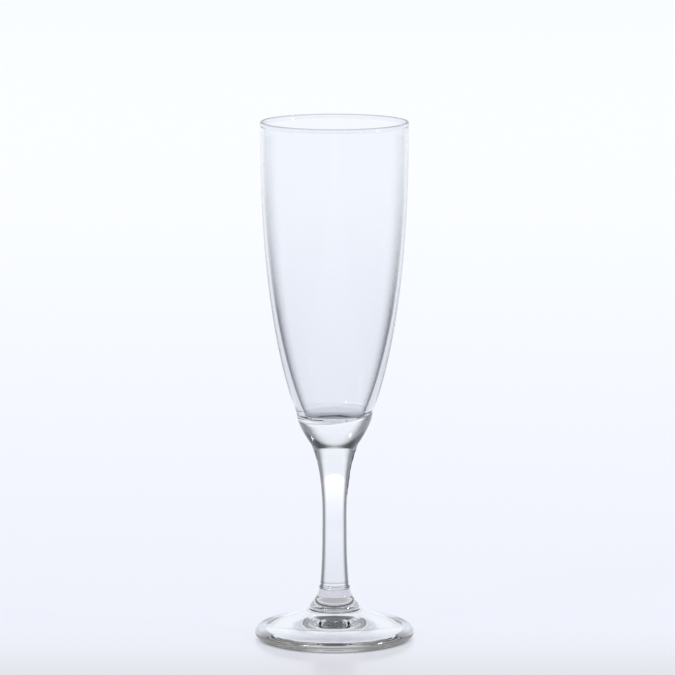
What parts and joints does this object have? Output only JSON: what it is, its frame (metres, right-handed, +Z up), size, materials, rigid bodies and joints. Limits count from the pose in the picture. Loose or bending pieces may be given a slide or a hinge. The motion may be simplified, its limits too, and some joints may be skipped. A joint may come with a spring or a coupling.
{
  "type": "champagne flute",
  "caption": "Clear glass stemware: a tall tapering flute bowl welded to a solid waisted stem and a round hollowed foot.",
  "frame": {"origin": "on the flute's axis, in the plane of the seat ring that the foot rests on", "axes": "+Z up along the axis from the foot to the rim; +X to the right and -Y towards someone facing the flute"},
  "size_m": [0.0584, 0.0584, 0.19],
  "materials": {
    "bowl_glass": "fire-polished clear",
    "stem_glass": "fire-polished clear",
    "foot_glass": "fire-polished clear"
  },
  "bodies": {
    "root": {"bowl": "bowl_glass", "stem": "stem_glass", "foot": "foot_glass"}
  },
  "joints": []
}
